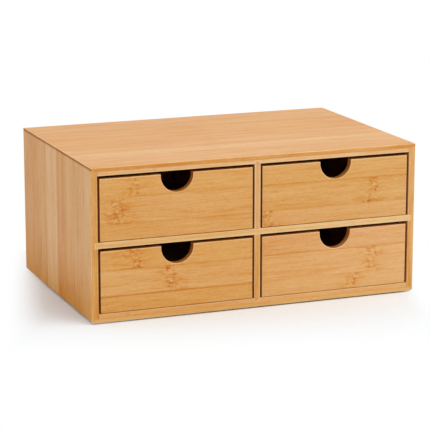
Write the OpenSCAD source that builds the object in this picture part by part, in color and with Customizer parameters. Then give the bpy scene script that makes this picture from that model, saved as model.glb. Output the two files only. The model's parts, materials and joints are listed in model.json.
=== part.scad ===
// Desktop case with four finger-notch drawers, built from laminated bamboo board.
// X runs to the right, Y to the rear and Z up, and the drawer fronts face -Y.
// The origin is the middle of the footprint, on the surface that the case stands on.

/* [Case] */
// Width over the side panels
case_w = 330; // [260:5:420]
// Depth from the drawer fronts to the rear face
case_d = 218; // [160:2:320]
// Height from the table to the top face, pads included
case_h = 148; // [116:1:220]
// Thickness of the top panel
top_t = 8; // [6:0.5:12]
// Thickness of the bottom panel
bottom_t = 8.5; // [6:0.5:12]
// Thickness of each side panel
side_t = 7; // [6:0.5:12]
// Thickness of the middle shelf
shelf_t = 6; // [4.5:0.5:10]
// Thickness of the two upright dividers
divider_t = 6; // [5:0.5:10]
// Thickness of the back panel
back_t = 3; // [2:0.5:5]

/* [Case joints] */
// Thickness of the outer ply that is mitred at the four long corners
corner_ply = 4; // [2:0.25:5]
// How far the shelf is let into each side panel
shelf_housing = 3.5; // [2:0.25:4.5]
// How far the upper divider is let into the top panel
top_housing = 3.5; // [2:0.25:4]
// How far the lower divider is let into the bottom panel
bottom_housing = 3; // [2:0.25:4]
// How far the upper divider is let into the shelf
divider_housing = 1.2; // [0.4:0.2:2]
// Width of the rebate that the back panel sits in
back_rebate = 3; // [2.4:0.2:4]
// Gap round the edge of the back panel
back_gap = 0.2; // [0.1:0.1:0.5]

/* [Edges] */
// Rounding of the case's lower side edges
foot_round = 3; // [1:0.5:4]
// Rounding of the case's other outer edges
case_round = 0.8; // [0.4:0.1:1.2]
// Rounding of the front edges round the four openings
opening_round = 0.3; // [0.2:0.1:0.8]
// Rounding of the drawers' edges
drawer_round = 0.5; // [0.3:0.1:1]

/* [Drawers] */
// Gap above each drawer front
top_gap = 2.8; // [1.5:0.1:4]
// Gap at each end of a drawer front
end_gap = 1.8; // [0.8:0.1:2.5]
// Running gap under each drawer
run_gap = 0.4; // [0.2:0.1:0.8]
// Gap between a closed drawer and the back panel
rear_gap = 2; // [1:0.5:6]
// Thickness of a drawer front
front_t = 7; // [6:0.5:10]
// Thickness of a drawer's sides and back
wall_t = 5; // [4:0.5:7]
// How much lower a drawer's sides and back are than its front
wall_drop = 4; // [0:0.5:10]
// How far the sides are let into the front
front_lap = 4; // [3:0.5:5]
// Thickness of a drawer's bottom board
floor_t = 3; // [2:0.5:4]
// Height of the bottom board above a drawer's lower edge
floor_lift = 4; // [3:0.5:6]
// Depth of the grooves that hold the bottom board
groove = 2.5; // [1.5:0.25:3]
// Gap between the bottom board's edge and the end of its groove
floor_gap = 0.2; // [0.1:0.1:0.5]

/* [Finger notches] */
// Diameter of the half-round finger notch
notch_d = 32; // [20:1:40]
// Depth of the notch below the front's upper edge
notch_depth = 17.5; // [10:0.5:22]

/* [Brads] */
// Diameter of a brad's shank
brad_d = 1.2; // [1:0.1:1.6]
// Diameter of a brad's head
head_d = 2; // [1.8:0.1:2.4]
// Thickness of a brad's head
head_t = 0.5; // [0.3:0.1:0.8]
// Length of the brads in the drawer corners
corner_brad_l = 14; // [10:1:18]
// Length of the brads in the back panel
back_brad_l = 12; // [8:1:16]
// Gap between a brad and its hole
brad_gap = 0.05; // [0.03:0.01:0.1]
// Brads in each corner of a drawer
corner_brads = 2; // [2:1:3]
// Distance from a drawer's upper or lower edge to the nearest brad
brad_edge = 12; // [12:1:14]

/* [Pads] */
// Diameter of an anti-slip pad
pad_d = 12; // [8:1:16]
// Thickness of an anti-slip pad
pad_t = 1.2; // [0.6:0.2:2]
// Distance from the case's outer faces to a pad's centre
pad_inset = 16; // [13:1:30]

/* [Hidden] */
$fn = 64;
over = 1; // how far a cut runs past the faces it opens

// Outer planes of the case
half_w = case_w / 2;
front_y = -case_d / 2;
rear_y = case_d / 2;
low_z = pad_t;
high_z = case_h;

// Inner planes of the case
inner_x = half_w - side_t;
floor_z = low_z + bottom_t;
roof_z = high_z - top_t;
back_y = rear_y - back_t;
opening_h = (roof_z - floor_z - shelf_t) / 2;
opening_w = inner_x - divider_t / 2;
shelf_z = floor_z + opening_h;
shelf_top_z = shelf_z + shelf_t;

// Outer sizes of a drawer
front_w = opening_w - 2 * end_gap;
front_h = opening_h - top_gap - run_gap;
drawer_l = back_y - front_y - rear_gap;
wall_h = front_h - wall_drop;
wall_y = front_t - front_lap;
back_wall_y = drawer_l - wall_t;

// Brads in the back panel, as [x, z]: two rows, two columns and two in the shelf
row_brads = 4;
row_pitch = 2 * inner_x / row_brads;
brad_in = back_rebate / 2;
column_z = [floor_z + opening_h / 2, roof_z - opening_h / 2];
back_brad_points = concat(
    [for (i = [0 : row_brads - 1], z = [floor_z - brad_in, roof_z + brad_in])
        [-inner_x + (i + 0.5) * row_pitch, z]],
    [for (s = [-1, 1], z = column_z) [s * (inner_x + brad_in), z]],
    [for (s = [-1, 1]) [s * half_w / 2, shelf_z + shelf_t / 2]]
);

// Brads in a drawer's corners, as [y, z] on its left face
corner_pitch = (wall_h - 2 * brad_edge) / (corner_brads - 1);
corner_brad_points = [
    for (i = [0 : corner_brads - 1], y = [wall_y + front_lap / 2, back_wall_y + wall_t / 2])
        [y, brad_edge + i * corner_pitch]
];

// Each drawer's name, column and row
DRAWERS = [
    ["upper_left", -1, 1],
    ["upper_right", 1, 1],
    ["lower_left", -1, 0],
    ["lower_right", 1, 0],
];
DRAWER_PIECES = ["front", "left_wall", "right_wall", "back_wall", "bottom_board", "brads"];

// ---- Edge rounding ----

// Section of the cut that rounds an edge at the origin; the wood lies towards [sx, sy]
module round_section(r, sx, sy) {
    difference() {
        translate([sx * (r - over) / 2, sy * (r - over) / 2]) square(r + over, center = true);
        translate([sx * r, sy * r]) circle(r);
    }
}

// Rounds an edge along X from x0 to x1; the wood lies towards [sy, sz]
module round_along_x(x0, x1, y, z, sy, sz, r) {
    translate([x0, y, z])
        rotate([90, 0, 90]) linear_extrude(height = x1 - x0) round_section(r, sy, sz);
}

// Rounds an edge along Y from y0 to y1; the wood lies towards [sx, sz]
module round_along_y(x, y0, y1, z, sx, sz, r) {
    translate([x, y1, z])
        rotate([90, 0, 0]) linear_extrude(height = y1 - y0) round_section(r, sx, sz);
}

// Rounds an edge along Z from z0 to z1; the wood lies towards [sx, sy]
module round_along_z(x, y, z0, z1, sx, sy, r) {
    translate([x, y, z0]) linear_extrude(height = z1 - z0) round_section(r, sx, sy);
}

// ---- Cuts shared by the case's pieces ----

// Rounds every outer edge of the closed case
module outer_rounding() {
    for (s = [-1, 1]) {
        round_along_x(-half_w - over, half_w + over, s * rear_y, high_z, -s, -1, case_round);
        round_along_x(-half_w - over, half_w + over, s * rear_y, low_z, -s, 1, case_round);
        round_along_y(s * half_w, front_y - over, rear_y + over, high_z, -s, -1, case_round);
        round_along_y(s * half_w, front_y - over, rear_y + over, low_z, -s, 1, foot_round);
        for (y = [front_y, rear_y])
            round_along_z(s * half_w, y, low_z - over, high_z + over, -s, y < 0 ? 1 : -1, case_round);
    }
}

// Rounds the front edges round the four openings
module opening_rounding() {
    for (s = [-1, 1], z0 = [floor_z, shelf_top_z]) {
        near_x = s * divider_t / 2;
        far_x = s * inner_x;
        z1 = z0 + opening_h;
        round_along_z(near_x, front_y, z0, z1, -s, 1, opening_round);
        round_along_z(far_x, front_y, z0, z1, s, 1, opening_round);
        round_along_x(min(near_x, far_x), max(near_x, far_x), front_y, z0, 1, -1, opening_round);
        round_along_x(min(near_x, far_x), max(near_x, far_x), front_y, z1, 1, 1, opening_round);
    }
}

// The rebate round the rear opening, which the back panel sits in
module back_rebate_cut() {
    translate([-inner_x - back_rebate, back_y, floor_z - back_rebate])
        cube([2 * (inner_x + back_rebate), back_t + over, roof_z - floor_z + 2 * back_rebate]);
}

// One brad along -Z, with the top of its head at the origin; grow widens it into its hole
module brad(length, grow = 0) {
    translate([0, 0, -length]) cylinder(h = length, d = brad_d + 2 * grow);
    translate([0, 0, -head_t]) cylinder(h = head_t + (grow > 0 ? over : 0), d = head_d + 2 * grow);
}

// The brads that hold the back panel, driven towards the front
module back_brads(grow = 0) {
    for (p = back_brad_points)
        translate([p[0], rear_y, p[1]]) rotate([-90, 0, 0]) brad(back_brad_l, grow);
}

// Cuts that each board of the case takes at the rear
module rear_cuts() {
    back_rebate_cut();
    back_brads(brad_gap);
}

// ---- Case ----

// A long board, as its section in X and Z: square inner ply, mitred outer ply.
// up is 1 for the top panel and -1 for the bottom panel
module long_board(outer_z, up, t) {
    inner_z = outer_z - up * t;
    step_z = outer_z - up * corner_ply;
    step_x = half_w - corner_ply;
    translate([0, rear_y, 0]) rotate([90, 0, 0]) linear_extrude(height = case_d)
        polygon([
            [-inner_x, inner_z], [inner_x, inner_z], [inner_x, step_z], [step_x, step_z],
            [half_w, outer_z], [-half_w, outer_z], [-step_x, step_z], [-inner_x, step_z]
        ]);
}

// The slot for a divider in a board, from z0 to z1
module divider_slot(z0, z1) {
    translate([-divider_t / 2, front_y - over, z0])
        cube([divider_t, back_y - front_y + over, z1 - z0]);
}

module top_panel() {
    color([0.89, 0.70, 0.51]) difference() {
        long_board(high_z, 1, top_t);
        divider_slot(roof_z - over, roof_z + top_housing);
        rear_cuts();
        outer_rounding();
        opening_rounding();
    }
}

module bottom_panel() {
    color([0.85, 0.62, 0.37]) difference() {
        long_board(low_z, -1, bottom_t);
        divider_slot(floor_z - bottom_housing, floor_z + over);
        rear_cuts();
        outer_rounding();
        opening_rounding();
    }
}

// s is -1 for the left panel and 1 for the right one
module side_panel(s) {
    step_x = half_w - corner_ply;
    color([0.80, 0.62, 0.43]) difference() {
        translate([0, rear_y, 0]) rotate([90, 0, 0]) linear_extrude(height = case_d)
            polygon([
                [s * half_w, low_z], [s * half_w, high_z],
                [s * step_x, high_z - corner_ply], [s * inner_x, high_z - corner_ply],
                [s * inner_x, low_z + corner_ply], [s * step_x, low_z + corner_ply]
            ]);
        translate([s * inner_x - shelf_housing, front_y - over, shelf_z])
            cube([2 * shelf_housing, back_y - front_y + over, shelf_t]);
        rear_cuts();
        outer_rounding();
        opening_rounding();
    }
}

module middle_shelf() {
    reach = inner_x + shelf_housing;
    color([0.88, 0.69, 0.47]) difference() {
        translate([-reach, front_y, shelf_z]) cube([2 * reach, back_y - front_y, shelf_t]);
        divider_slot(shelf_top_z - divider_housing, shelf_top_z + over);
        back_brads(brad_gap);
        opening_rounding();
    }
}

// A divider from z0 to z1
module divider(z0, z1) {
    color([0.88, 0.69, 0.47]) difference() {
        translate([-divider_t / 2, front_y, z0]) cube([divider_t, back_y - front_y, z1 - z0]);
        opening_rounding();
    }
}

module back_panel() {
    edge = back_rebate - back_gap;
    color([0.84, 0.66, 0.45]) difference() {
        translate([-inner_x - edge, back_y, floor_z - edge])
            cube([2 * (inner_x + edge), back_t, roof_z - floor_z + 2 * edge]);
        back_brads(brad_gap);
    }
}

module back_panel_brads() {
    color([0.72, 0.72, 0.70]) back_brads();
}

module anti_slip_pads() {
    color([0.16, 0.15, 0.14])
        for (sx = [-1, 1], sy = [-1, 1])
            translate([sx * (half_w - pad_inset), sy * (rear_y - pad_inset), 0])
                cylinder(h = pad_t, d = pad_d);
}

// ---- Drawers, drawn from the lower left corner of the front face ----

// Moves a drawer into its opening; column is -1 or 1, row is 0 or 1
module in_opening(column, row) {
    left_x = column < 0 ? -inner_x : divider_t / 2;
    base_z = row > 0 ? shelf_top_z : floor_z;
    translate([left_x + end_gap, front_y, base_z + run_gap]) children();
}

// The brads in a drawer's four corners, driven through the walls
module corner_brad_set(grow = 0) {
    for (p = corner_brad_points) {
        translate([0, p[0], p[1]]) rotate([0, -90, 0]) brad(corner_brad_l, grow);
        translate([front_w, p[0], p[1]]) rotate([0, 90, 0]) brad(corner_brad_l, grow);
    }
}

// The groove round the inside of a drawer, which holds the bottom board
module floor_groove() {
    translate([wall_t - groove, front_t - groove, floor_lift])
        cube([front_w - 2 * (wall_t - groove), back_wall_y - front_t + 2 * groove, floor_t]);
}

// The half-round finger notch, with its front edge rounded
module finger_notch() {
    notch_r = notch_d / 2;
    translate([front_w / 2, 0, front_h - notch_depth + notch_r]) {
        translate([0, -over, 0]) rotate([-90, 0, 0]) cylinder(h = front_t + 2 * over, r = notch_r);
        translate([-notch_r, -over, 0]) cube([notch_d, front_t + 2 * over, notch_depth]);
        rotate([-90, 0, 0]) rotate_extrude() intersection() {
            translate([notch_r, 0]) round_section(drawer_round, 1, 1);
            translate([0, -over]) square([notch_r + 2 * over, 3 * over]);
        }
    }
}

module drawer_front() {
    color([0.85, 0.62, 0.36]) difference() {
        cube([front_w, front_t, front_h]);
        finger_notch();
        for (x = [-over, front_w - wall_t])
            translate([x, wall_y, -over]) cube([wall_t + over, front_lap + over, wall_h + over]);
        floor_groove();
        corner_brad_set(brad_gap);
        for (z = [0, front_h])
            round_along_x(-over, front_w + over, 0, z, 1, z > 0 ? -1 : 1, drawer_round);
        for (x = [0, front_w])
            round_along_z(x, 0, -over, front_h + over, x > 0 ? -1 : 1, 1, drawer_round);
    }
}

// x is the left face of the wall
module drawer_side(x) {
    color([0.87, 0.68, 0.45]) difference() {
        translate([x, wall_y, 0]) cube([wall_t, drawer_l - wall_y, wall_h]);
        floor_groove();
        corner_brad_set(brad_gap);
        for (s = [0, 1])
            round_along_y(x + s * wall_t, wall_y - over, drawer_l + over, wall_h,
                          s > 0 ? -1 : 1, -1, drawer_round);
    }
}

module drawer_back() {
    color([0.87, 0.68, 0.45]) difference() {
        translate([wall_t, back_wall_y, 0]) cube([front_w - 2 * wall_t, wall_t, wall_h]);
        floor_groove();
        corner_brad_set(brad_gap);
        for (s = [0, 1])
            round_along_x(wall_t - over, front_w - wall_t + over, back_wall_y + s * wall_t, wall_h,
                          s > 0 ? -1 : 1, -1, drawer_round);
    }
}

module drawer_bottom() {
    edge = groove - floor_gap;
    color([0.90, 0.74, 0.54])
        translate([wall_t - edge, front_t - edge, floor_lift])
            cube([front_w - 2 * (wall_t - edge), back_wall_y - front_t + 2 * edge, floor_t]);
}

module drawer_brads() {
    color([0.72, 0.72, 0.70]) corner_brad_set();
}

// ---- Assembly ----

top_panel();
bottom_panel();
side_panel(-1);  // left_side_panel
side_panel(1);  // right_side_panel
middle_shelf();
divider(shelf_top_z - divider_housing, roof_z + top_housing);  // upper_divider
divider(floor_z - bottom_housing, shelf_z);  // lower_divider
back_panel();
back_panel_brads();
anti_slip_pads();

for (d = DRAWERS) in_opening(d[1], d[2]) {
    drawer_front();
    drawer_side(0);
    drawer_side(front_w - wall_t);
    drawer_back();
    drawer_bottom();
    drawer_brads();
}
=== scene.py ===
"""Looks for the desktop mini drawers: a bamboo case with four drawers, in Blender 4.5.

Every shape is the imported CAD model's own. This script gives each CAD node its finish, and
makes the floor, the light and the camera. Finishes are written in millimetres; the floor, the
lamp and the camera are in metres.
"""

import json
import math

import bpy
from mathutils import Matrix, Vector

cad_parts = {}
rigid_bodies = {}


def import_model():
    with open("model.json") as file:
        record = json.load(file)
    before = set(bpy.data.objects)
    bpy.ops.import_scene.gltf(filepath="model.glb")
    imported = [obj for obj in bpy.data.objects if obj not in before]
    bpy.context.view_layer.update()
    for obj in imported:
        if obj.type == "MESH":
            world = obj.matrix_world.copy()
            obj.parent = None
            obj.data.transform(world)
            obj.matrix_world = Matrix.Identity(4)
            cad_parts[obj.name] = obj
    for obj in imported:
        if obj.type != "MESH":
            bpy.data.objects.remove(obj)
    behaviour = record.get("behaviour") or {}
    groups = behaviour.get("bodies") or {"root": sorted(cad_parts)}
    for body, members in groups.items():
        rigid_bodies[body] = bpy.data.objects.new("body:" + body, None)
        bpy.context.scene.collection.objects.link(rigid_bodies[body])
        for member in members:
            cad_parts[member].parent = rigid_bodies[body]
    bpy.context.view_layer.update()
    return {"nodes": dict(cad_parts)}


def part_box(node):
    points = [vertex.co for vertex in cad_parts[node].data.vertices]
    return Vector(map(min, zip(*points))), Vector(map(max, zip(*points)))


for default_object in list(bpy.data.objects):
    bpy.data.objects.remove(default_object)

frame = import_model()

MM = 0.001

# ---- Sizes of the object that the finishes need, as in the CAD source ----

HALF_W = 165.0
FRONT_Y = -109.0
REAR_Y = 109.0
HIGH_Z = 148.0
LOW_Z = 1.2  # the underside of the case, on its pads
CORNER_PLY = 4.0
SIDE_T = 7.0
SHELF_Z = 71.85
SHELF_T = 6.0
SHELF_TOP_Z = SHELF_Z + SHELF_T
DIVIDER_T = 6.0
BACK_T = 3.0
FLOOR_Z = 9.7
ROOF_Z = 140.0
NOTCH_R = 16.0
NOTCH_DEPTH = 17.5
DRAWER_FLOOR_LIFT = 4.0

# ---- A short way to write shader arithmetic ----


class Num:
    """A number that a shader works out at each point, so that a sum is written as a sum."""

    def __init__(self, graph, socket):
        self.graph, self.socket = graph, socket

    def __add__(self, other):
        return self.graph.math("ADD", self, other)

    __radd__ = __add__

    def __sub__(self, other):
        return self.graph.math("SUBTRACT", self, other)

    def __rsub__(self, other):
        return self.graph.math("SUBTRACT", other, self)

    def __mul__(self, other):
        return self.graph.math("MULTIPLY", self, other)

    def __truediv__(self, other):
        return self.graph.math("DIVIDE", self, other)

    def __abs__(self):
        return self.graph.math("ABSOLUTE", self)


class Graph:
    """Adds nodes to a tree. A value is a number, a tuple, a Num or a node's output socket."""

    def __init__(self, tree):
        self.tree = tree

    def put(self, socket, value):
        if isinstance(value, Num):
            value = value.socket
        if isinstance(value, bpy.types.NodeSocket):
            self.tree.links.new(value, socket)
        else:
            socket.default_value = value

    def add(self, kind, inputs, **settings):
        node = self.tree.nodes.new("ShaderNode" + kind)
        for name, value in settings.items():
            setattr(node, name, value)
        for key, value in inputs.items():
            self.put(node.inputs[key], value)
        return node

    def math(self, operation, *values):
        node = self.add("Math", dict(enumerate(values)), operation=operation)
        return Num(self, node.outputs[0])

    def smooth(self, value, start, end, low=0.0, high=1.0):
        """low at start, high at end, and a smooth step between them.

        It stays level beyond them. start may be the larger of the two.
        """
        inputs = {
            "Value": value, "From Min": start, "From Max": end, "To Min": low, "To Max": high
        }
        node = self.add("MapRange", inputs, interpolation_type="SMOOTHSTEP")
        return Num(self, node.outputs[0])

    def join(self, x, y, z):
        return self.add("CombineXYZ", {0: x, 1: y, 2: z}).outputs[0]

    def split(self, vector):
        outputs = self.add("SeparateXYZ", {0: vector}).outputs
        return [Num(self, out) for out in outputs]

    def vector(self, operation, *values):
        return self.add("VectorMath", dict(enumerate(values)), operation=operation).outputs[0]

    def noise(self, vector, scale, detail=0.0, roughness=0.5):
        """Noise from 0 to 1, with scale in waves per millimetre along each axis."""
        place = self.vector("MULTIPLY", vector, scale)
        inputs = {"Vector": place, "Scale": 1.0, "Detail": detail, "Roughness": roughness}
        return Num(self, self.add("TexNoise", inputs).outputs["Fac"])

    def cells(self, vector, scale):
        """Distance to the nearest cell's centre, in cells, with scale in cells per millimetre."""
        place = self.vector("MULTIPLY", vector, scale)
        inputs = {"Vector": place, "Scale": 1.0, "Randomness": 1.0}
        return Num(self, self.add("TexVoronoi", inputs).outputs["Distance"])

    def steps(self, value, edges, levels):
        """levels[0] below edges[0], levels[1] from there to edges[1], and so on."""
        total = levels[0]
        for edge, before, after in zip(edges, levels, levels[1:]):
            total = self.math("GREATER_THAN", value, edge) * (after - before) + total
        return total

    def ramp(self, value, stops):
        node = self.add("ValToRGB", {0: value})
        elements = node.color_ramp.elements
        while len(elements) < len(stops):
            elements.new(1.0)
        for element, (position, colour) in zip(elements, stops):
            element.position, element.color = position, (*colour, 1.0)
        return node.outputs[0]

    def tint(self, colour, red, green, blue):
        """colour with each of its parts multiplied."""
        factors = self.add("CombineColor", {0: red, 1: green, 2: blue}).outputs[0]
        node = self.add("Mix", {}, data_type="RGBA", blend_type="MULTIPLY")
        for key, value in ((0, 1.0), (6, colour), (7, factors)):
            self.put(node.inputs[key], value)
        return node.outputs[2]


def new_group(name, inputs, outputs):
    """A node group's graph, its input values by name, and its output node.

    inputs and outputs give the kind of each socket by its name.
    """
    tree = bpy.data.node_groups.new(name, "ShaderNodeTree")
    for in_out, sockets in (("INPUT", inputs), ("OUTPUT", outputs)):
        for socket, kind in sockets.items():
            tree.interface.new_socket(socket, in_out=in_out, socket_type="NodeSocket" + kind)
    graph = Graph(tree)
    entry = tree.nodes.new("NodeGroupInput")
    exit_node = tree.nodes.new("NodeGroupOutput")
    given = {
        socket: Num(graph, entry.outputs[socket]) if kind == "Float" else entry.outputs[socket]
        for socket, kind in inputs.items()
    }
    return graph, given, exit_node


# ---- Bamboo: one solid pattern for every board, whichever way its grain runs ----

# Linear colours of the wood from a brown fibre to the palest strip
WOOD_STOPS = [
    (0.00, (0.480, 0.132, 0.008)),
    (0.25, (0.618, 0.220, 0.020)),
    (0.40, (0.660, 0.276, 0.046)),
    (0.50, (0.683, 0.319, 0.077)),
    (0.60, (0.714, 0.357, 0.107)),
    (0.80, (0.766, 0.436, 0.171)),
    (1.00, (0.820, 0.522, 0.252)),
]
STRIP_OFFSET = 0.41  # how far the seams of each ply lie from the next ply's, in strips
STRIP_SPREAD = 400.0  # how far apart two strips can lie in the noise that draws their fibres
INTERNODE = 290.0  # from one knuckle of a cane to the next
KNUCKLE_WOBBLE = 7.0  # how crooked a knuckle's line is
KNUCKLE_SLANT = 7.0  # how much it leans across a strip
KNUCKLE_RIDGE = 3.2  # how far the raised lines lie from the knuckle's own line
FIBRE_WANDER = 4.5  # how far fibres stray sideways
FIBRE_SWIRL = 7.0  # how much further they stray beside a knuckle
# Distances at which a mark has faded out and at which it is full
KNUCKLE_BAND = (8.0, 3.0)
KNUCKLE_HALO = (26.0, 5.0)
RIDGE_LINE = (0.9, 0.2)
SEAM_LINE = (0.45, 0.08)
SEAM_BAND = (2.2, 0.2)
GLUE_LINE = (0.36, 0.08)
# How much more than red a darkened face loses of green and of blue; the darkening is painted
# shade, mostly on faces in the gaps between parts
DARKENING_GREEN, DARKENING_BLUE = 1.5, 1.9


def bamboo_group():
    """The colour, roughness and height of laminated bamboo, as a node group.

    Its Place is (along the grain, across the strips, through the plies) in millimetres, and its
    Facing is the surface's direction along the same three, without a sign.
    """
    graph, given, exit_node = new_group(
        "bamboo",
        {
            "Place": "Vector", "Facing": "Vector", "Strip width": "Float", "Seam": "Float",
            "Ply": "Float", "Ply face": "Float", "Seed": "Float", "Tone": "Float",
            "Strip contrast": "Float", "Broad contrast": "Float", "Streak contrast": "Float",
            "Knuckle at": "Float", "Knuckle chosen": "Float", "Knuckle strength": "Float",
            "Edge": "Float", "Darkening": "Float",
        },
        {"Color": "Color", "Roughness": "Float", "Height": "Float"},
    )
    along, across, through = graph.split(given["Place"])
    end_face, side_face, flat_face = graph.split(given["Facing"])
    seams_show = graph.smooth(side_face, 0.9, 0.6)
    plies_show = graph.smooth(flat_face, 0.9, 0.6)

    ply_place = (through - given["Ply face"]) / given["Ply"]
    ply = graph.math("FLOOR", ply_place)
    to_ply_edge = (0.5 - abs(ply_place - ply - 0.5)) * given["Ply"]
    strip_place = (across - given["Seam"]) / given["Strip width"] + ply * STRIP_OFFSET
    strip = graph.math("FLOOR", strip_place)
    off_centre = strip_place - strip - 0.5
    to_seam = (0.5 - abs(off_centre)) * given["Strip width"]
    draw = graph.add(
        "TexWhiteNoise", {"Vector": graph.join(strip, ply, given["Seed"])}, noise_dimensions="3D"
    )
    chance = Num(graph, draw.outputs["Value"])
    own_red, own_green, own_blue = graph.split(draw.outputs["Color"])
    strip_start = graph.vector("SCALE", draw.outputs["Color"])
    graph.put(strip_start.node.inputs["Scale"], STRIP_SPREAD)
    cane = graph.vector("ADD", given["Place"], strip_start)

    # The knuckle: a band across each strip, at its own place along the grain
    turn = along / INTERNODE + chance
    drawn_gap = (turn - graph.math("FLOOR", turn) - 0.5) * INTERNODE
    chosen_gap = along - given["Knuckle at"]
    gap = drawn_gap + (chosen_gap - drawn_gap) * given["Knuckle chosen"]
    wobble = graph.noise(cane, (0.02, 0.16, 0.16), 1.0) - 0.5
    gap = gap + wobble * KNUCKLE_WOBBLE + off_centre * (own_red - 0.5) * KNUCKLE_SLANT
    distance = abs(gap)
    band = graph.smooth(distance, *KNUCKLE_BAND) * given["Knuckle strength"]
    halo = graph.smooth(distance, *KNUCKLE_HALO) * given["Knuckle strength"]

    # Fibres, which wander a little and swirl round a knuckle
    wander = (graph.noise(cane, (0.012, 0.05, 0.05), 1.0) - 0.5) * FIBRE_WANDER
    swirl = (graph.noise(cane, (0.10, 0.16, 0.16), 1.0) - 0.5) * halo * FIBRE_SWIRL
    fibre = graph.vector("ADD", cane, graph.join(0.0, wander + swirl, 0.0))
    broad = graph.noise(fibre, (0.0075, 0.12, 0.12), 2.0)
    middle = graph.noise(fibre, (0.023, 0.52, 0.52), 2.0, 0.6)
    flecks = graph.noise(fibre, (0.085, 0.75, 0.75), 1.0)
    fine = graph.noise(fibre, (0.06, 2.3, 2.3), 2.0, 0.6)
    mottle = graph.noise(fibre, (0.30, 0.62, 0.62), 1.0)
    bundle_cells = graph.cells(fibre, (0.022, 1.0, 1.0))
    bundle = graph.smooth(bundle_cells, 0.34, 0.12) * graph.smooth(fine, 0.35, 0.62)
    streak = graph.smooth(middle, 0.53, 0.72)
    flare = graph.smooth(graph.noise(fibre, (0.055, 0.40, 0.40), 1.0), 0.50, 0.68) * halo

    # Pits, blotches and raised lines on a knuckle
    pits_place = graph.vector("ADD", cane, graph.join(wobble * 5.0, 0.0, 0.0))
    pit_cells = graph.cells(pits_place, (0.34, 0.40, 0.40))
    pits = graph.smooth(pit_cells, 0.42, 0.18)
    blotch = graph.noise(pits_place, (0.28, 0.36, 0.36), 2.0, 0.7)
    blotches = graph.smooth(blotch, 0.50, 0.66)
    pale_spots = graph.smooth(blotch, 0.47, 0.33)
    ridge = graph.smooth(abs(distance - KNUCKLE_RIDGE), *RIDGE_LINE) * graph.smooth(
        graph.noise(cane, (0.05, 0.9, 0.9)), 0.38, 0.58
    )

    # Joints between strips, which fade in and out along the grain, and between plies
    seam = graph.smooth(to_seam, *SEAM_LINE) * seams_show * graph.smooth(
        graph.noise(cane, (0.02, 0.01, 0.01)), 0.30, 0.55
    )
    seam_band = (
        graph.smooth(to_seam, *SEAM_BAND) * seams_show * graph.smooth(own_green, 0.35, 0.9)
    )
    glue = graph.smooth(to_ply_edge, *GLUE_LINE) * plies_show

    tone = (
        0.56
        + (broad - 0.5) * 0.34 * given["Broad contrast"]
        + (0.5 - middle) * 0.34 * given["Streak contrast"]
        - streak * 0.06 * given["Streak contrast"]
        + (flecks - 0.5) * 0.22
        + (fine - 0.5) * 0.20
        + (mottle - 0.5) * 0.24
        - bundle * 0.08
        + (own_blue - 0.5) * given["Strip contrast"]
        + given["Tone"]
        - seam * 0.14
        - seam_band * 0.13
        - glue * 0.24
        - halo * 0.03
        - flare * 0.22
        + band * (pale_spots * 0.20 - blotches * 0.32 - pits * 0.20 - 0.02)
        - band * ridge * 0.16
        # painted highlight along the eased edges
        + given["Edge"] * 0.40
    )
    end = graph.smooth(end_face, 0.55, 0.9)
    end_spots = graph.smooth(bundle_cells, 0.50, 0.20)
    tone = tone - end * (end_spots * 0.26 + 0.12)
    # The darkening: painted shade on faces in the gaps and the notches, and along some edges
    cut = given["Darkening"]
    colour = graph.tint(
        graph.ramp(tone, WOOD_STOPS),
        (own_red * 0.02 + 0.99) * (1.0 - cut),
        (own_green * 0.05 + 0.975) * (1.0 - cut * DARKENING_GREEN),
        (own_blue * 0.22 + 0.89) * (1.0 - cut * DARKENING_BLUE),
    )
    roughness = (
        0.44
        + (fine - 0.5) * 0.22
        + bundle * 0.07
        + end * 0.16
        + (broad - 0.5) * 0.12
        - given["Edge"] * 0.05
    )
    height = (
        fine * 0.5
        - bundle * 0.7
        - seam * 0.8
        - glue * 0.7
        - band * (pits * 0.9 + ridge * 0.6)
        - end * end_spots * 0.8
        - side_face * bundle * 0.3
    )
    graph.put(exit_node.inputs["Color"], colour)
    graph.put(exit_node.inputs["Roughness"], roughness)
    graph.put(exit_node.inputs["Height"], height)
    return graph.tree


def edge_group():
    """How far a place on a box is from the box's nearest edge, in millimetres."""
    graph, given, exit_node = new_group(
        "edge_distance",
        {"Place": "Vector", "Low": "Vector", "High": "Vector"},
        {"Distance": "Float"},
    )
    from_low = graph.vector("SUBTRACT", given["Place"], given["Low"])
    from_high = graph.vector("SUBTRACT", given["High"], given["Place"])
    x, y, z = graph.split(graph.vector("MINIMUM", from_low, from_high))
    nearest = graph.math("MINIMUM", graph.math("MINIMUM", x, y), z)
    farthest = graph.math("MAXIMUM", graph.math("MAXIMUM", x, y), z)
    graph.put(exit_node.inputs["Distance"], x + y + z - nearest - farthest)
    return graph.tree


BAMBOO = bamboo_group()
EDGE_DISTANCE = edge_group()


class Finish:
    """A new material with its Principled shader.

    x, y and z are the place in the row frame in millimetres, and facing holds how much the
    surface faces along each axis, without a sign.
    """

    def __init__(self, name):
        self.material = bpy.data.materials.new(name)
        self.material.use_nodes = True
        self.graph = Graph(self.material.node_tree)
        self.shader = self.material.node_tree.nodes["Principled BSDF"]
        coordinates = self.graph.add("TexCoord", {}).outputs
        self.place = self.graph.vector("MULTIPLY", coordinates["Object"], (1 / MM,) * 3)
        self.x, self.y, self.z = self.graph.split(self.place)
        turned = self.graph.vector("ABSOLUTE", coordinates["Normal"])
        self.facing = dict(zip("xyz", self.graph.split(turned)))

    def set(self, **values):
        for name, value in values.items():
            self.graph.put(self.shader.inputs[name.replace("_", " ")], value)

    def bump(self, height, distance):
        inputs = {"Strength": 1.0, "Distance": distance * MM, "Height": height}
        self.set(Normal=self.graph.add("Bump", inputs).outputs[0])

    def put_on(self, *nodes):
        for name in nodes:
            piece = frame["nodes"][name]
            piece.data.materials.clear()
            piece.data.materials.append(self.material)


def box_mm(node):
    low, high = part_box(node)
    return tuple(c / MM for c in low), tuple(c / MM for c in high)


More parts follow.
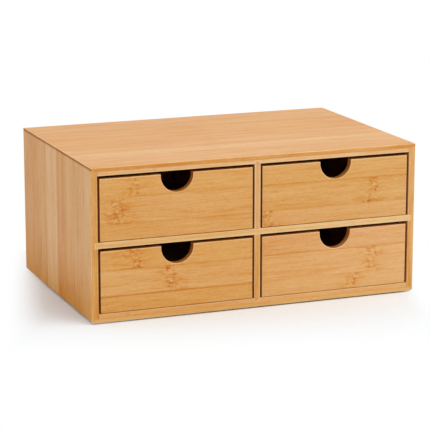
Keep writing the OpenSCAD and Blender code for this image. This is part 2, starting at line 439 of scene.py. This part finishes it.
WOOD_GLOSS = 0.4
GRAIN_DEPTH = 0.03
EDGE_HIGHLIGHT_FADE = (1.1, 0.4)  # distances from an edge at which its painted highlight has faded out and is full
LINE_CORE = 0.35  # the part of a joint line's width in which it is at its darkest


def edge_highlight(finish, low, high, notch):
    """How much painted highlight the board has, from 0 to 1: along the box's edges and round the
    notch's rim, where eased edges catch the light.
    """
    graph = finish.graph
    edge_node = graph.add("Group", {}, node_tree=EDGE_DISTANCE)
    for name, value in (("Place", finish.place), ("Low", low), ("High", high)):
        graph.put(edge_node.inputs[name], value)
    to_edge = Num(graph, edge_node.outputs[0])
    if notch:
        off_x, off_z = finish.x - notch[0], finish.z - notch[1]
        radius = graph.math("SQRT", off_x * off_x + off_z * off_z)
        to_face = graph.math("MINIMUM", finish.y - low[1], high[1] - finish.y)
        to_rim = graph.math("MAXIMUM", abs(radius - NOTCH_R), to_face)
        to_edge = graph.math("MINIMUM", to_edge, to_rim)
    patches = graph.noise(finish.place, (0.06, 0.06, 0.06), 2.0)
    return graph.smooth(to_edge, *EDGE_HIGHLIGHT_FADE) * graph.smooth(patches, 0.25, 0.65, 0.45, 1.0)


def board(
    node, axes, strips, plies, seed, tone, strip_contrast, streak_contrast=1.0,
    broad_contrast=None, knuckle_strength=1.0, knuckle_at=None, lines=(), notch=None,
    roughness=0.0, cut=None, gloss=None,
):
    """Gives a CAD node the bamboo finish.

    axes names the row axis that the grain runs along, then the one across the strips, then the
    one through the plies. strips is the width of the strips and a place where two of them meet,
    and plies is the same for the plies. tone is a number or a function of the finish.
    broad_contrast is streak_contrast where it isn't given. knuckle_at (where the knuckles lie),
    cut (how much darker a place is: mostly painted shade, on faces in the gaps between parts and
    along edges) and gloss are functions of the finish, or None. lines are thin dark lines, each
    (axis, place, half width, depth): joint lines, and painted shade along the drawer fronts' lower
    edges beside the gap. notch is the x and z of the centre of a finger notch.
    """
    finish = Finish("bamboo_" + node)
    graph = finish.graph
    low, high = box_mm(node)
    edge_light = edge_highlight(finish, low, high, notch)
    darkening_level = cut(finish) if cut else 0.0
    if cut:
        # The painted edge highlight is taken away where the darkening falls
        edge_light = edge_light * graph.smooth(darkening_level, 0.12, 0.0)

    level = tone(finish) if callable(tone) else tone
    for axis, at, half_width, depth in lines:
        off = abs(getattr(finish, axis) - at)
        level = graph.smooth(off, half_width, half_width * LINE_CORE) * -depth + level
    inputs = {
        "Place": graph.join(*(getattr(finish, axis) for axis in axes)),
        "Facing": graph.join(*(finish.facing[axis] for axis in axes)),
        "Strip width": strips[0], "Seam": strips[1], "Ply": plies[0], "Ply face": plies[1],
        "Seed": seed, "Tone": level, "Strip contrast": strip_contrast,
        "Broad contrast": broad_contrast or streak_contrast,
        "Streak contrast": streak_contrast,
        "Knuckle at": knuckle_at(finish) if knuckle_at else 0.0,
        "Knuckle chosen": 1.0 if knuckle_at else 0.0,
        "Knuckle strength": knuckle_strength, "Edge": edge_light, "Darkening": darkening_level,
    }
    wood = graph.add("Group", {}, node_tree=BAMBOO)
    for name, value in inputs.items():
        graph.put(wood.inputs[name], value)
    finish.set(
        Base_Color=wood.outputs["Color"],
        Roughness=Num(graph, wood.outputs["Roughness"]) + roughness,
        Specular_IOR_Level=gloss(finish) if gloss else WOOD_GLOSS,
    )
    finish.bump(wood.outputs["Height"], GRAIN_DEPTH)
    finish.put_on(node)


# ---- The case ----

SKIN = 0.05  # how far a ply's boundary lies beyond the board's own face, so that it never shows
CASE_STRIP = 27.25  # width of the strips in the case's panels
THIN_PLY = 1.0  # the plies of the back panel and of the drawers' bottom boards
BACK_STRIP, BACK_SEAM_X = 31.0, -3.0
SHELF_SEAM_Y = FRONT_Y - 4.0
DIVIDER_SEAM_Y = FRONT_Y - 9.0

# Where the strips of the top panel's upper ply meet, along Y, and their tones from the front
TOP_SEAMS = [-82.0, -64.5, -48.0, -37.0, -25.0, 3.0, 11.0, 82.0]
TOP_TONES = [0.00, 0.03, 0.17, 0.00, 0.03, -0.10, -0.05, 0.00, -0.03]
TOP_LOWER_PLY_PALE = 0.20
TOP_UPPER_PLY_DARK = -0.22  # against the lower ply
TOP_EDGE_UNDER_SHEEN = -0.15  # the upper ply's long edges, further still, so that its top face stays paler as a painted sheen
# how much darker the top panel is along its rear edge
TOP_REAR_DARK = 0.07

# Where the strips of a side panel meet, along Y, and their tones from the front to the back
SIDE_SEAMS = [-81.0, -57.0, -30.5, -4.5, 31.0, 56.0, 84.0]
LEFT_SIDE_TONES = [0.08, -0.02, -0.01, -0.14, 0.16, -0.06, -0.12, -0.10]
RIGHT_SIDE_TONES = [0.18, -0.06, 0.06, 0.04, -0.12, 0.00, 0.06, -0.05]
SIDE_DARK_UP_TO, SIDE_LOW_SHADE = 70.0, 0.15  # the side panels' lower part, darkened by painted shade
SIDE_LOW_SHADE_AT_REAR = 0.2  # the share of that painted shade at the rear
SIDE_GLOSS_LOW, SIDE_GLOSS_HIGH = 0.04, 0.33
SIDE_TOP_BAND = (HIGH_Z - 3.4, HIGH_Z - 1.4)  # the band of painted shade along the upper edge, also duller, begins and is full
SIDE_TOP_SHADE, SIDE_TOP_GLOSS = 0.36, 0.1
LIP_SHADE = 0.33  # how much painted shade darkens the inner faces, in the gaps just behind the front edges
# Joint lines on the side panels' edges: the distance from the middle, the half width, the depth
SIDE_PLY_LINES = [(163.9, 0.9, 0.15), (161.9, 0.9, 0.15), (159.9, 0.9, 0.26)]

# How much paler the shelf and the bottom panel are, at the left and at the right, and the dividers
SHELF_PALE = (0.21, 0.38)
BOTTOM_PALE = (0.05, 0.16)
DIVIDER_PALE = 0.07
# how dark the painted shade is on the dividers' faces in the gaps
DIVIDER_GAP_SHADE = 0.28


def top_tone(finish):
    """The top panel's upper ply is darker where its long edge shows, above the paler lower ply;
    its top face stays paler than that edge, a painted sheen.
    """
    graph = finish.graph
    upper = graph.math("GREATER_THAN", finish.z, HIGH_Z - CORNER_PLY)
    # the top face is left paler than these edges: a painted sheen
    edge = graph.smooth(finish.facing["y"], 0.6, 0.9) * TOP_EDGE_UNDER_SHEEN
    strip = graph.steps(finish.y, TOP_SEAMS, TOP_TONES)
    return TOP_LOWER_PLY_PALE + upper * (edge + TOP_UPPER_PLY_DARK + strip)


def side_tone(finish, tones):
    """Each strip's tone, and on the outer faces painted shade over the lower part, least at the
    rear.
    """
    smooth = finish.graph.smooth
    # painted shade, darker towards the floor
    lower = smooth(finish.z, SIDE_DARK_UP_TO, LOW_Z, 0.0, SIDE_LOW_SHADE)
    forward = smooth(finish.y, REAR_Y, 0.0, SIDE_LOW_SHADE_AT_REAR, 1.0)
    sideways = smooth(finish.facing["x"], 0.3, 0.6)
    return finish.graph.steps(finish.y, SIDE_SEAMS, tones) - lower * forward * sideways


def side_top_and_lip_shade(finish):
    """Painted shade along the upper edge, over its rounding, and on the inner face just behind the
    front edge, in the gaps beside the drawers.
    """
    smooth = finish.graph.smooth
    inner_x = HALF_W - SIDE_T
    inner = smooth(abs(finish.x), inner_x + 1.0, inner_x + 0.3)
    lip = smooth(finish.y, FRONT_Y + 8.0, FRONT_Y + 4.0, 0.0, LIP_SHADE)
    return smooth(finish.z, *SIDE_TOP_BAND, 0.0, SIDE_TOP_SHADE) + inner * lip


def side_gloss(finish):
    """Duller towards the floor, and along the saw-burnt upper edge."""
    smooth = finish.graph.smooth
    upward = smooth(finish.z, 0.0, SIDE_DARK_UP_TO, SIDE_GLOSS_LOW, SIDE_GLOSS_HIGH)
    return upward * smooth(finish.z, *SIDE_TOP_BAND, 1.0, SIDE_TOP_GLOSS)


def paler_right(left, right):
    """A tone that changes from left to right about the middle of the case."""
    return lambda finish: finish.graph.smooth(finish.x, -40.0, 60.0, left, right)


def gap_face_shade(amount):
    """Painted shade on the faces that face neither the front nor the rear, which lie in the gaps
    between parts.
    """
    return lambda finish: finish.graph.smooth(finish.facing["y"], 0.6, 0.3) * amount


board(
    "top_panel", "xyz", (CASE_STRIP, FRONT_Y), (CORNER_PLY, HIGH_Z - CORNER_PLY + SKIN), 3.0,
    tone=top_tone, strip_contrast=0.10, streak_contrast=1.25, broad_contrast=2.1,
    knuckle_strength=0.3,
    cut=lambda f: f.graph.smooth(f.y, REAR_Y - 3.0, REAR_Y - 1.0, 0.0, TOP_REAR_DARK),
)
board(
    "bottom_panel", "xyz", (CASE_STRIP, FRONT_Y), (CORNER_PLY, LOW_Z - SKIN), 11.0,
    tone=paler_right(*BOTTOM_PALE), strip_contrast=0.10, knuckle_strength=0.4,
)
for panel, side, tones, seed in (
    ("left_side_panel", -1.0, LEFT_SIDE_TONES, 5.0),
    ("right_side_panel", 1.0, RIGHT_SIDE_TONES, 8.0),
):
    board(
        panel, "zyx", (CASE_STRIP, SIDE_SEAMS[2]), (CORNER_PLY, side * (HALF_W + SKIN)), seed,
        tone=lambda f: side_tone(f, tones), strip_contrast=0.02, streak_contrast=1.35,
        knuckle_strength=0.2, cut=side_top_and_lip_shade, gloss=side_gloss,
        lines=[("x", side * x, *line) for x, *line in SIDE_PLY_LINES],
    )
board(
    "middle_shelf", "xyz", (CASE_STRIP, SHELF_SEAM_Y), (SHELF_T / 2 + SKIN, SHELF_Z - SKIN), 17.0,
    tone=paler_right(*SHELF_PALE), strip_contrast=0.10, knuckle_strength=0.3,
    lines=[("z", SHELF_TOP_Z, 0.7, 0.40)],
)
for divider, seed, lines in (
    ("upper_divider", 21.0, [("z", ROOF_Z, 0.4, 0.3), ("z", SHELF_TOP_Z, 0.4, 0.3)]),
    ("lower_divider", 23.0, [("z", SHELF_Z, 0.9, 0.45), ("z", FLOOR_Z, 0.4, 0.3)]),
):
    board(
        divider, "zyx", (CASE_STRIP, DIVIDER_SEAM_Y), (DIVIDER_T / 2 + SKIN, 0.0), seed,
        tone=DIVIDER_PALE, strip_contrast=0.10, knuckle_strength=0.3,
        cut=gap_face_shade(DIVIDER_GAP_SHADE), lines=lines,
    )
board(
    "back_panel", "xzy", (BACK_STRIP, BACK_SEAM_X), (THIN_PLY, REAR_Y - BACK_T), 29.0,
    tone=0.10, strip_contrast=0.16, streak_contrast=0.9, knuckle_strength=0.5, roughness=0.12,
)

# ---- The drawers ----

FRONT_STRIP = 24.7
FRONT_SEAM = 15.45  # from a drawer front's lower edge to its first seam
FRONT_PLY = 10.0  # thicker than the board, so that no joint shows between plies
# painted shade on a drawer front's faces in the gaps and the notch
FRONT_GAP_SHADE = 0.33
FRONT_END_SHADE = 0.15  # how dark the painted shade is at the ends of a drawer front's face, beside the gaps
FOOT_SHADE_LINE = (1.1, 0.45)  # half width and depth of the dark line along its lower edge: painted shade, beside the gap under the front
WALL_STRIP, WALL_SEAM_DROP = 19.5, 4.0
WALL_PLIES = (10.0, -300.0)  # the plies' thickness, and a place where two of them meet
# Each wall, the axes of its grain, and what is added to the drawer's seed
WALLS = (("_left_wall", "yzx", 1.0), ("_right_wall", "yzx", 2.0), ("_back_wall", "xzy", 3.0))
BOTTOM_STRIP, BOTTOM_SEAM_Y = 33.0, -7.0
NONE = -1000.0  # a knuckle that lies off the board

# For each drawer: a seed, the tone of each strip from the bottom up, how much paler its right end
# is than its left, where the knuckle lies on each strip, as a place along X in the row frame, and
# how dark its lower and upper seams are
DRAWERS = {
    "upper_left": (41.0, (-0.03, 0.01, 0.02), -0.02, (NONE, -138.0, -123.0), (0.0, 0.0)),
    "upper_right": (47.0, (0.02, 0.00, 0.01), 0.05, (9.0, 119.5, NONE), (0.0, 0.06)),
    "lower_left": (53.0, (-0.05, 0.02, 0.01), 0.0, (NONE, -86.5, -122.5), (0.12, 0.0)),
    "lower_right": (59.0, (0.04, 0.05, -0.03), 0.15, (99.0, 120.0, NONE), (0.0, 0.14)),
}


def front_gap_shade(finish, left, right):
    """Painted shade on a drawer front's edge faces and notch walls, in the gaps and the notch, and
    at the ends of its face beside the gaps.
    """
    middle, half = (right + left) / 2, (right - left) / 2
    off = abs(finish.x - middle)
    ends = finish.graph.smooth(off, half - 0.9, half - 0.2, 0.0, FRONT_END_SHADE)
    return gap_face_shade(FRONT_GAP_SHADE)(finish) + ends


for drawer, (seed, tones, paler, knuckles, dark_seams) in DRAWERS.items():
    low, high = box_mm(drawer + "_drawer_front")
    left, right, foot = low[0], high[0], low[2]
    seams = [foot + FRONT_SEAM, foot + FRONT_SEAM + FRONT_STRIP]
    board(
        drawer + "_drawer_front", "xzy", (FRONT_STRIP, seams[0]), (FRONT_PLY, low[1] - 1.0), seed,
        tone=lambda f: (
            f.graph.steps(f.z, seams, tones) + f.graph.smooth(f.x, left, right, 0.0, paler)
        ),
        knuckle_at=lambda f: f.graph.steps(f.z, seams, knuckles),
        strip_contrast=0.04, streak_contrast=0.92,
        lines=[("z", seam, 0.9, depth) for seam, depth in zip(seams, dark_seams) if depth]
        + [("z", foot, *FOOT_SHADE_LINE)],
        cut=lambda f: front_gap_shade(f, left, right),
        notch=((left + right) / 2, high[2] - NOTCH_DEPTH + NOTCH_R),
    )
    for wall, axes, offset in WALLS:
        board(
            drawer + "_drawer" + wall, axes, (WALL_STRIP, foot - WALL_SEAM_DROP), WALL_PLIES,
            seed + offset,
            tone=0.06, strip_contrast=0.22, streak_contrast=0.9, knuckle_strength=0.8,
            roughness=0.08,
        )
    board(
        drawer + "_drawer_bottom_board", "xyz", (BOTTOM_STRIP, BOTTOM_SEAM_Y),
        (THIN_PLY, foot + DRAWER_FLOOR_LIFT), seed + 4.0,
        tone=0.16, strip_contrast=0.14, streak_contrast=0.8, knuckle_strength=0.5,
        roughness=0.12,
    )

# ---- Brads and pads ----

STEEL_STOPS = [
    (0.0, (0.22, 0.19, 0.16)),
    (0.5, (0.50, 0.48, 0.45)),
    (1.0, (0.72, 0.71, 0.68)),
]
RUBBER_STOPS = [
    (0.0, (0.020, 0.020, 0.021)),
    (0.5, (0.050, 0.050, 0.052)),
    (1.0, (0.12, 0.118, 0.112)),
]


def steel_finish():
    """Drawn steel wire brads with struck heads: fine scratches, and darker patches of oxide."""
    finish = Finish("brad_steel")
    graph = finish.graph
    scratch = graph.noise(finish.place, (7.0, 1.4, 1.4), 2.0, 0.6)
    patches = graph.noise(finish.place, (1.3, 1.3, 1.3), 3.0)
    dark = graph.smooth(patches, 0.42, 0.68)
    colour = graph.ramp(scratch * 0.5 + 0.35 - dark * 0.32, STEEL_STOPS)
    finish.set(Base_Color=colour, Metallic=1.0, Roughness=scratch * 0.25 + 0.26 + dark * 0.22)
    finish.bump(scratch - dark * 0.4, 0.02)
    return finish


def rubber_finish():
    """Die-cut foam rubber: a fine closed-cell surface with pores and a little dust."""
    finish = Finish("pad_rubber")
    graph = finish.graph
    pores = graph.smooth(graph.cells(finish.place, (2.6, 2.6, 2.6)), 0.34, 0.12)
    grain = graph.noise(finish.place, (1.6, 1.6, 1.6), 3.0, 0.6)
    dust = graph.smooth(graph.noise(finish.place, (0.25, 0.25, 0.25), 2.0), 0.5, 0.75)
    colour = graph.ramp(grain * 0.5 + 0.25 - pores * 0.2 + dust * 0.22, RUBBER_STOPS)
    finish.set(Base_Color=colour, Roughness=grain * 0.2 + 0.66)
    finish.bump(grain * 0.5 - pores, 0.06)
    return finish


steel_finish().put_on("back_panel_brads", *(drawer + "_drawer_brads" for drawer in DRAWERS))
rubber_finish().put_on("anti_slip_pads")

# ---- Floor, light and camera, in metres ----

FLOOR_HALF = 12.0
FLOOR_COLOUR = (0.905, 0.96, 1.0)
FLOOR_ROUGHNESS, FLOOR_GLOSS = 0.6, 0.2
# Away from the case a white glow, painted light over the floor's shading and the outer part of
# the shadow, turns the floor to plain white. Along two directions that are turned by
# SHADE_TURN, each fade is where it starts and where it ends.
SHADE_TURN = math.radians(17)
FADES_ACROSS = [(-0.164, -0.207), (0.175, 0.200)]
FADES_IN_DEPTH = [(-0.110, -0.250), (0.110, 0.150)]

WHITE = (1.0, 1.0, 1.0, 1.0)
SKY_LEVEL = 0.74  # the even light from all round, where 1 shows a white surface as white
KEY_LEVEL = 0.40  # what the lamp adds, on the same scale
KEY_AIM = (0.0, 0.0, 0.07)
KEY_DIRECTION = (0.11, -0.17, 0.34)
KEY_DISTANCE, KEY_SIZE = 2.0, 1.3

PHOTO_PIXELS = 430
FOCAL_PIXELS = 1991.4
SENSOR = 36.0  # millimetres
CAMERA_PLACE = (-0.7042, -1.7981, 0.5115)
CAMERA_DOWN, CAMERA_TURN = 0.2260, -0.3731  # radians


def seen_rays(graph):
    """1 for what the camera sees, also in a glossy or clear surface, and 0 for plain light."""
    path = graph.add("LightPath", {}).outputs
    seen = graph.math("MAXIMUM", path["Is Camera Ray"], path["Is Glossy Ray"])
    return graph.math("MAXIMUM", seen, path["Is Transmission Ray"])


def floor_finish():
    """White paper that keeps the shadow near the object; further out a white glow, seen by the
    camera and in reflections, is painted over its shading and shadow.
    """
    material = bpy.data.materials.new("floor_white")
    material.use_nodes = True
    tree = material.node_tree
    graph = Graph(tree)
    shader = tree.nodes["Principled BSDF"]
    shader.inputs["Base Color"].default_value = (*FLOOR_COLOUR, 1.0)
    shader.inputs["Roughness"].default_value = FLOOR_ROUGHNESS
    shader.inputs["Specular IOR Level"].default_value = FLOOR_GLOSS
    coordinates = graph.add("TexCoord", {})
    x, y, _ = graph.split(coordinates.outputs["Object"])
    across = x * math.cos(SHADE_TURN) - y * math.sin(SHADE_TURN)
    in_depth = x * math.sin(SHADE_TURN) + y * math.cos(SHADE_TURN)
    away = 0.0
    for place, fades in ((across, FADES_ACROSS), (in_depth, FADES_IN_DEPTH)):
        for start, end in fades:
            away = graph.math("MAXIMUM", away, graph.smooth(place, start, end))
    glow = graph.add("Emission", {"Color": WHITE, "Strength": 1.0})
    shown = away * seen_rays(graph)
    mix = graph.add("MixShader", {0: shown, 1: shader.outputs[0], 2: glow.outputs[0]})
    tree.links.new(mix.outputs[0], tree.nodes["Material Output"].inputs["Surface"])
    return material


def world_light():
    world = bpy.data.worlds.new("studio")
    world.use_nodes = True
    graph = Graph(world.node_tree)
    background = world.node_tree.nodes["Background"]
    background.inputs["Color"].default_value = WHITE
    graph.put(background.inputs["Strength"], seen_rays(graph) * (1.0 - SKY_LEVEL) + SKY_LEVEL)
    bpy.context.scene.world = world


def soft_box(name, aim, direction, distance, size, level):
    """A square lamp that adds level, a share of full white, to a white surface facing it."""
    data = bpy.data.lights.new(name, "AREA")
    data.shape, data.size = "SQUARE", size
    data.energy = level * math.pi ** 2 * distance ** 2
    lamp = bpy.data.objects.new(name, data)
    bpy.context.scene.collection.objects.link(lamp)
    length = math.sqrt(sum(c * c for c in direction))
    lamp.location = [a + c / length * distance for a, c in zip(aim, direction)]
    away = lamp.location - type(lamp.location)(aim)
    lamp.rotation_euler = away.to_track_quat("Z", "Y").to_euler()


floor_mesh = bpy.data.meshes.new("floor")
floor_mesh.from_pydata(
    [(x * FLOOR_HALF, y * FLOOR_HALF, 0.0) for x, y in ((-1, -1), (1, -1), (1, 1), (-1, 1))],
    [], [(0, 1, 2, 3)],
)
floor = bpy.data.objects.new("floor", floor_mesh)
bpy.context.scene.collection.objects.link(floor)
floor.data.materials.append(floor_finish())

world_light()
soft_box("key_light", KEY_AIM, KEY_DIRECTION, KEY_DISTANCE, KEY_SIZE, KEY_LEVEL)

camera_data = bpy.data.cameras.new("photo_camera")
camera_data.sensor_width = SENSOR
camera_data.lens = FOCAL_PIXELS / PHOTO_PIXELS * SENSOR
camera = bpy.data.objects.new("photo_camera", camera_data)
camera.location = CAMERA_PLACE
camera.rotation_euler = (math.pi / 2 - CAMERA_DOWN, 0.0, CAMERA_TURN)
bpy.context.scene.collection.objects.link(camera)
bpy.context.scene.camera = camera
bpy.context.scene.view_settings.view_transform = "Standard"
